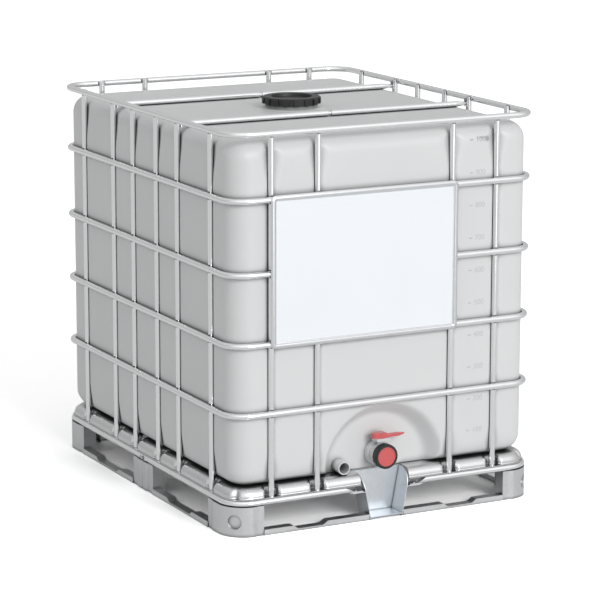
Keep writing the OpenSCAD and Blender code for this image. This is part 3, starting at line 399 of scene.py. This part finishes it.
# The walk round the bottle: straight walls and round corners, each place with its outward direction.
walk = []
front_run = stations(half_x - corner, front_posts, 0.006)
back_run = stations(half_x - corner, front_posts, 0.03)
side_run = stations(half_y - corner, side_posts, 0.03)
turns = [math.pi / 2 * (i + 0.5) / turn_steps for i in range(turn_steps)]
walk += [("front", s, (0, -1)) for s in front_run]
walk += [("corner", (1, -1), (math.sin(t), -math.cos(t))) for t in turns]
walk += [("right", s, (1, 0)) for s in side_run]
walk += [("corner", (1, 1), (math.cos(t), math.sin(t))) for t in turns]
walk += [("back", s, (0, 1)) for s in reversed(back_run)]
walk += [("corner", (-1, 1), (-math.sin(t), math.cos(t))) for t in turns]
walk += [("left", s, (-1, 0)) for s in reversed(side_run)]
walk += [("corner", (-1, -1), (-math.cos(t), -math.sin(t))) for t in turns]


def wall_point(step, z, inset):
    """A point of the wall at one step of the walk and height z; the rounded edge draws it in by inset."""
    kind, place, out = step
    # corners keep their centre while the edge draws the wall in
    if kind == "corner":
        radius = max(corner - inset, 0.004)
        shrink = corner - inset - radius
        cx = place[0] * (half_x - corner + shrink)
        cy = place[1] * (half_y - corner + shrink)
        return Vector((cx + out[0] * radius, cy + out[1] * radius, z))
    if kind in ("front", "back"):
        depth = deeper(inset, groove(place, z, front_posts), 0.004)
        if kind == "front":
            depth = max(depth, deeper(inset, recess(place, z), 0.003))
        return Vector((place, out[1] * (half_y - depth), z))
    depth = deeper(inset, groove(place, z, side_posts), 0.004)
    return Vector((out[0] * (half_x - depth), place, z))


shell = bmesh.new()
loops = []
for z, inset in rows:
    loops.append([shell.verts.new(wall_point(step, z, inset)) for step in walk])
# the top runs in from the shoulder to the filling neck
last = [v.co.copy() for v in loops[-1]]
for share in (0.08, 0.25, 0.45, 0.65, 0.82, 0.93, 1.0):
    ring = []
    for point in last:
        angle = math.atan2(point.y, point.x)
        rim = Vector((neck_radius * math.cos(angle), neck_radius * math.sin(angle), body_top))
        ring.append(shell.verts.new(point.lerp(rim, share)))
    loops.append(ring)
for radius, height in ((neck_radius, neck_top - 0.001), (neck_radius - 0.001, neck_top),
                       (neck_radius - neck_wall, neck_top), (neck_radius - neck_wall, body_top - 0.02)):
    loops.append([shell.verts.new((radius * math.cos(math.atan2(p.y, p.x)),
                                   radius * math.sin(math.atan2(p.y, p.x)), height)) for p in last])
for lower, upper in zip(loops[:-1], loops[1:]):
    for i in range(len(walk)):
        j = (i + 1) % len(walk)
        shell.faces.new((lower[i], lower[j], upper[j], upper[i]))
shell.faces.new(list(reversed(loops[0])))
shell.faces.new(loops[-1])
bmesh.ops.recalc_face_normals(shell, faces=shell.faces)

# Natural polyethylene as it leaves the mould: milky, waxy and soft in its gloss, with slow waves.
polyethylene, tree, shader = material("natural_polyethylene_blow_moulded", Roughness=0.42, IOR=1.54)
place = add(tree, "ShaderNodeTexCoord").outputs["Object"]
flow = add(tree, "ShaderNodeTexNoise", {"Vector": place, "Scale": 5.0, "Detail": 3.0}).outputs["Fac"]
tone = add(tree, "ShaderNodeMix", {0: flow, 6: linear("#dcddde"), 7: linear("#e2e3e3")},
           data_type="RGBA").outputs[2]
# painted shade: the wall is darkened within 28 mm of other surfaces, in its grooves, behind the tubes and along
# the deck
tree.links.new(painted_contact_shade(tree, tone, 0.028, 0.8), shader.inputs["Base Color"])
skin_wave = add(tree, "ShaderNodeTexNoise", {"Vector": place, "Scale": 14.0, "Detail": 2.0}).outputs["Fac"]
bump = add(tree, "ShaderNodeBump", {"Height": skin_wave, "Strength": 0.12, "Distance": 0.002}).outputs[0]
tree.links.new(bump, shader.inputs["Normal"])

bottle_shell = finish_piece("bottle_shell", shell, polyethylene, "container")
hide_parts("bottle")
dress(polyethylene, "side_stub")

# ---------------------------------------------------------------- filling cap
# Screw cap moulded in black polyethylene with grip lugs round its skirt, over a rubber ring.
# It is screwed on the neck of the bottle. The moulded skin is half matt; the rubber is dull.


def mottled(name, dark, light, rough, ior, grains, detail=2.0, relief=0.0, relief_depth=0.0003):
    """Plastic, rubber or paint: two close colours in grains to the metre, that also stand out by relief."""
    made, tree, shader = material(name, Roughness=rough, IOR=ior)
    place = add(tree, "ShaderNodeTexCoord").outputs["Object"]
    grit = add(tree, "ShaderNodeTexNoise",
               {"Vector": place, "Scale": grains, "Detail": detail}).outputs["Fac"]
    tone = add(tree, "ShaderNodeMix", {0: grit, 6: linear(dark), 7: linear(light)},
               data_type="RGBA").outputs[2]
    tree.links.new(tone, shader.inputs["Base Color"])
    if relief:
        bump = add(tree, "ShaderNodeBump",
                   {"Height": grit, "Strength": relief, "Distance": relief_depth}).outputs[0]
        tree.links.new(bump, shader.inputs["Normal"])
    return made


# grit of about 1.4 mm on the cap and 2 mm on the rubber, coarser than it really is, so that it shows
black_plastic = mottled("black_polyethylene_moulded", "#161616", "#222221",
                        rough=0.46, ior=1.52, grains=700.0, relief=0.2)
dress(black_plastic, "screw_cap", "outlet_ring")
rubber = mottled("black_sealing_rubber", "#1b1b1b", "#2b2b2b",
                 rough=0.75, ior=1.52, grains=500.0)
dress(rubber, "cap_seal", "valve_gasket", "outlet_seal")

# ---------------------------------------------------------------- outlet valve
# Butterfly valve moulded in light grey polyethylene and held to the bottle by a union nut.
# The lever and the closing plate are moulded in red, glossier than the body, with grit of 2.5 mm.

grey_plastic = mottled("light_grey_polyethylene_moulded", "#d8d9da", "#e1e2e3",
                       rough=0.4, ior=1.52, grains=400.0, relief=0.15)
dress(grey_plastic, "valve_body", "union_nut", "valve_flap")
red_plastic = mottled("red_polyethylene_moulded", "#d25a5c", "#db6a6a",
                      rough=0.24, ior=1.52, grains=400.0, relief=0.15)
dress(red_plastic, "lever", "outlet_plate")

# ---------------------------------------------------------------- cage
# Rings of 18 mm galvanised tube outside, uprights inside, pressed flat and welded where they cross.
# Same bright tube as the rail; the welds are drawn as small round beads.

tube_radius = 0.009
bead_radius = 0.0024
bead_spread = 0.35
bead_beside = 0.0085
bead_above = 0.0062
ring_names = ["ring_top", "ring_upper", "ring_middle", "ring_lower", "ring_base"]
post_names = [name for name in nodes if name.startswith("upright_")]
# the tube finish carries painted shade where the tubes lie close to the bottle and to each other
dress(zinc_tube, *ring_names, *post_names)


def repeated(name, points, build_item, size, spread, finish, body):
    """A piece made of one item copied to many points by Geometry Nodes, then baked to a plain mesh."""
    group = bpy.data.node_groups.new(name, "GeometryNodeTree")
    group.interface.new_socket("Geometry", in_out="INPUT", socket_type="NodeSocketGeometry")
    size_socket = group.interface.new_socket("Item Size", in_out="INPUT",
                                             socket_type="NodeSocketFloat")
    spread_socket = group.interface.new_socket("Size Spread", in_out="INPUT",
                                               socket_type="NodeSocketFloat")
    group.interface.new_socket("Geometry", in_out="OUTPUT", socket_type="NodeSocketGeometry")
    start = add(group, "NodeGroupInput")
    least = add(group, "ShaderNodeMath", {0: 1.0, 1: start.outputs["Size Spread"]},
                operation="SUBTRACT").outputs[0]
    share = add(group, "FunctionNodeRandomValue", {2: least, 3: 1.0, "Seed": 11},
                data_type="FLOAT").outputs[1]
    scale = add(group, "ShaderNodeMath", {0: start.outputs["Item Size"], 1: share},
                operation="MULTIPLY").outputs[0]
    copies = add(group, "GeometryNodeInstanceOnPoints",
                 {"Points": start.outputs["Geometry"], "Instance": build_item(group),
                  "Scale": scale}).outputs[0]
    solid = add(group, "GeometryNodeRealizeInstances", {"Geometry": copies}).outputs[0]
    shaded = add(group, "GeometryNodeSetMaterial", {"Geometry": solid, "Material": finish}).outputs[0]
    add(group, "NodeGroupOutput", {"Geometry": shaded})
    mesh = bpy.data.meshes.new(name)
    mesh.from_pydata(points, [], [])
    piece = bpy.data.objects.new(name, mesh)
    bpy.context.scene.collection.objects.link(piece)
    modifier = piece.modifiers.new(name, "NODES")
    modifier.node_group = group
    modifier[size_socket.identifier] = size
    modifier[spread_socket.identifier] = spread
    seen = piece.evaluated_get(bpy.context.evaluated_depsgraph_get())
    baked = bpy.data.meshes.new_from_object(seen)
    piece.modifiers.clear()
    piece.data = baked
    for face in baked.polygons:
        face.use_smooth = True
    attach(piece, body)
    return piece


def round_bead(group):
    """A small ball."""
    return add(group, "GeometryNodeMeshIcoSphere", {"Radius": 1.0, "Subdivisions": 2}).outputs["Mesh"]


# Four beads of weld in the corners of every crossing.
crossing_points = []
for ring in ring_names:
    ring_z = middle(ring, 2)
    for post in post_names:
        on_end = "front" in post or "back" in post
        across, along = (0, 1) if on_end else (1, 0)
        ring_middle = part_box(ring)[1][along] - tube_radius
        plane = (ring_middle + abs(middle(post, along))) / 2
        plane = math.copysign(plane, middle(post, along))
        for s_side in (-1, 1):
            for z_side in (-1, 1):
                point = [0, 0, ring_z + z_side * bead_above]
                point[across] = middle(post, across) + s_side * bead_beside
                point[along] = plane
                crossing_points.append(tuple(point))
weld_beads = repeated("weld_beads", crossing_points, round_bead, bead_radius, bead_spread,
                      zinc_tube, "container")

# ---------------------------------------------------------------- cross bars
# Two tubes over the bottle, each in two halves on a spigot, flattened and screwed to the uprights.
# Galvanised like the rings, so they share that bright finish.

dress(zinc_tube, "bar_front_left", "bar_front_right", "bar_back_left", "bar_back_right")

# ---------------------------------------------------------------- label plate
# Steel sheet with a raised, rounded border, fixed to the front of the rings.
# Its face is coated a pale blue white, almost even and half matt; its border is bare galvanised steel.

coated = mottled("pale_coated_sheet", "#f3f8ff", "#f8fcff",
                 rough=0.38, ior=1.5, grains=6.0, detail=3.0, relief=0.1, relief_depth=0.001)

low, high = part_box("label_plate")
plate_corner = 0.016
plate_corner_steps = 6
centre_x, centre_z = (low[0] + high[0]) / 2, (low[2] + high[2]) / 2
left, right = low[0] + plate_corner, high[0] - plate_corner
bottom, top = low[2] + plate_corner, high[2] - plate_corner
# Section of the border from the edge inwards: how far in, and how far it stands in front of the back.
section = [(0.0, 0.0), (0.0, 0.0008), (0.0006, 0.0012), (0.0025, 0.0030), (0.0045, 0.0042), (0.0065, 0.0047),
           (0.0095, 0.0047), (0.0115, 0.0042), (0.0128, 0.0030), (0.0136, 0.0014), (0.0150, 0.0010),
           (0.0170, 0.0010)]
sheet = bmesh.new()
loops = []
for inset, rise in section:
    loop = []
    radius = max(0.002, plate_corner - inset)
    for cx, cz, start in ((right, top, 0), (left, top, 1), (left, bottom, 2), (right, bottom, 3)):
        cx -= math.copysign(max(0.0, inset + radius - plate_corner), cx - centre_x)
        cz -= math.copysign(max(0.0, inset + radius - plate_corner), cz - centre_z)
        for i in range(plate_corner_steps + 1):
            turn = math.pi / 2 * (start + i / plate_corner_steps)
            loop.append(sheet.verts.new((cx + radius * math.cos(turn), high[1] - rise,
                                         cz + radius * math.sin(turn))))
    loops.append(loop)
for outer, inner in zip(loops[:-1], loops[1:]):
    for i in range(len(outer)):
        j = (i + 1) % len(outer)
        sheet.faces.new((outer[i], outer[j], inner[j], inner[i]))
sheet.faces.new(loops[-1])
sheet.faces.new(list(reversed(loops[0])))
bmesh.ops.recalc_face_normals(sheet, faces=sheet.faces)
plate_sheet = finish_piece("plate_sheet", sheet, coated, "container")
# painted shade: the border is darkened within 8 mm of other surfaces, along its edges and against the rings
bare_border = zinc("bare_sheet_border", "#d6d8da", "#e2e4e6", crystal=0.004, smooth=0.16, rough=0.22,
                   dents=0.06, reach=0.008, depth=0.7)
plate_sheet.data.materials.append(bare_border)
for face in plate_sheet.data.polygons:
    face.use_smooth = len(face.vertices) == 4
    face.material_index = 1 if face.use_smooth else 0
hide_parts("label_plate")

# ---------------------------------------------------------------- level scale
# Numbers and marks every 100 litres, moulded on the front of the bottle beside the right-hand uprights.
# Same polyethylene as the bottle, painted a little darker as painted shade along the thin raised strokes, so
# that they can be read.

scale_grey = mottled("moulded_scale_marks", "#bcbdbf", "#d3d4d5",
                     rough=0.5, ior=1.54, grains=300.0, detail=3.0)

marks = 10
mark_low = 0.222
mark_step = 0.0951
mark_y = -half_y + 0.0004
number_x = 0.294
number_height = 0.022
number_relief = 0.0005
dash_x = 0.280
dash_length = 0.010
numbers = bmesh.new()
for i in range(marks):
    curve = bpy.data.curves.new("mark", "FONT")
    curve.body = str(100 * (i + 1))
    curve.size = number_height
    curve.extrude = number_relief
    curve.align_y = "CENTER"
    text = bpy.data.objects.new("mark", curve)
    flat = bpy.data.meshes.new_from_object(text)
    flat.transform(Matrix.Translation((number_x, mark_y, mark_low + i * mark_step))
                   @ Matrix.Rotation(math.pi / 2, 4, "X"))
    numbers.from_mesh(flat)
    bpy.data.objects.remove(text)
    bpy.data.meshes.remove(flat)
    bpy.data.curves.remove(curve)
scale_numbers = finish_piece("scale_numbers", numbers, scale_grey, "container", smooth=False)


def flat_dash(group):
    """A short flat stroke."""
    return add(group, "GeometryNodeMeshCube", {"Size": (1.0, 0.1, 0.28)}).outputs["Mesh"]


dash_points = [(dash_x, mark_y, mark_low + i * mark_step) for i in range(marks)]
scale_dashes = repeated("scale_dashes", dash_points, flat_dash, dash_length, 0.0, scale_grey, "container")

# ---------------------------------------------------------------- studio
# A pale floor, a pale surround and soft lamps; none of it belongs to the object.
# Floor and surround look white, and are brighter in reflections than in the light that they give.

floor_mesh = bmesh.new()
bmesh.ops.create_grid(floor_mesh, x_segments=2, y_segments=2, size=60)
floor_data = bpy.data.meshes.new("studio_floor")
floor_mesh.to_mesh(floor_data)
floor_mesh.free()
floor = bpy.data.objects.new("studio_floor", floor_data)
bpy.context.scene.collection.objects.link(floor)
floor_paint = bpy.data.materials.new("studio_white")
floor_paint.use_nodes = True
tree = floor_paint.node_tree
tree.nodes.clear()
rays = add(tree, "ShaderNodeLightPath")
bounced = add(tree, "ShaderNodeBsdfDiffuse", {"Color": (0.8, 0.8, 0.8, 1.0)})
mirrored = add(tree, "ShaderNodeBsdfDiffuse", {"Color": (1.0, 1.0, 1.0, 1.0)})
looked_at = add(tree, "ShaderNodeBsdfDiffuse", {"Color": (1.95, 1.95, 1.95, 1.0)})
plain = add(tree, "ShaderNodeMixShader",
            {0: rays.outputs["Is Glossy Ray"], 1: bounced.outputs[0], 2: mirrored.outputs[0]})
mixed = add(tree, "ShaderNodeMixShader",
            {0: rays.outputs["Is Camera Ray"], 1: plain.outputs[0], 2: looked_at.outputs[0]})
add(tree, "ShaderNodeOutputMaterial", {"Surface": mixed.outputs[0]})
floor_data.materials.append(floor_paint)

world = bpy.data.worlds.new("studio")
bpy.context.scene.world = world
world.use_nodes = True
tree = world.node_tree
tree.nodes.clear()
rays = add(tree, "ShaderNodeLightPath")
way = add(tree, "ShaderNodeSeparateXYZ", {0: add(tree, "ShaderNodeTexCoord").outputs["Generated"]})
white = linear("#ffffff")
# what metal mirrors: brighter towards the front of the room and a little brighter overhead
ahead_level = add(tree, "ShaderNodeMapRange",
                  {"Value": way.outputs["Y"], "From Min": -1.0, "From Max": 0.2,
                   "To Min": 1.15, "To Max": 0.55}, interpolation_type="SMOOTHSTEP")
above_level = add(tree, "ShaderNodeMapRange",
                  {"Value": way.outputs["Z"], "From Min": 0.1, "From Max": 0.9,
                   "To Min": 0.0, "To Max": 0.18}, interpolation_type="SMOOTHSTEP")
mirror_level = add(tree, "ShaderNodeMath", {0: ahead_level.outputs[0], 1: above_level.outputs[0]},
                   operation="ADD").outputs[0]
around = add(tree, "ShaderNodeBackground", {"Color": white, "Strength": 0.52})
mirrored = add(tree, "ShaderNodeBackground", {"Color": white, "Strength": mirror_level})
seen = add(tree, "ShaderNodeBackground", {"Color": white, "Strength": 1.0})
plain = add(tree, "ShaderNodeMixShader",
            {0: rays.outputs["Is Glossy Ray"], 1: around.outputs[0], 2: mirrored.outputs[0]})
mixed = add(tree, "ShaderNodeMixShader",
            {0: rays.outputs["Is Camera Ray"], 1: plain.outputs[0], 2: seen.outputs[0]})
add(tree, "ShaderNodeOutputWorld", {"Surface": mixed.outputs[0]})

# a soft sun from the front, a little to the right and 27 degrees high; the shadow falls behind
key_data = bpy.data.lights.new("key_lamp", "SUN")
key_data.energy = 1.05
key_data.angle = math.radians(24)
key = bpy.data.objects.new("key_lamp", key_data)
key.rotation_euler = Vector((-0.75, 5.6, -2.9)).to_track_quat("-Z", "Y").to_euler()
bpy.context.scene.collection.objects.link(key)

# a tall soft panel standing in front, a little to the right, that draws the bright line on every tube
panel_data = bpy.data.lights.new("tall_front_panel", "AREA")
panel_data.shape = "RECTANGLE"
panel_data.size = 1.2
panel_data.size_y = 2.8
panel_data.energy = 19
panel = bpy.data.objects.new("tall_front_panel", panel_data)
panel.location = (0.75, -4.3, 1.42)
panel.rotation_euler = Vector((-0.75, 3.7, 0.0)).to_track_quat("-Z", "Y").to_euler()
bpy.context.scene.collection.objects.link(panel)

camera_place = (-3.77956, -7.32968, 2.26731)
camera_data = bpy.data.cameras.new("studio_camera")
camera_data.sensor_width = 36
camera_data.lens = 166.9
camera = bpy.data.objects.new("studio_camera", camera_data)
yaw, pitch, tilt = 0.4793, -0.2078, 0.0016
ahead = Vector((math.sin(yaw) * math.cos(pitch), math.cos(yaw) * math.cos(pitch), math.sin(pitch)))
right = Vector((math.cos(yaw), -math.sin(yaw), 0))
up = right.cross(ahead)
right, up = right * math.cos(tilt) + up * math.sin(tilt), up * math.cos(tilt) - right * math.sin(tilt)
camera.matrix_world = Matrix([(right[i], up[i], -ahead[i], camera_place[i]) for i in range(3)]
                             + [(0, 0, 0, 1)])
bpy.context.scene.collection.objects.link(camera)
bpy.context.scene.camera = camera
bpy.context.scene.view_settings.view_transform = "Standard"

bpy.context.view_layer.update()
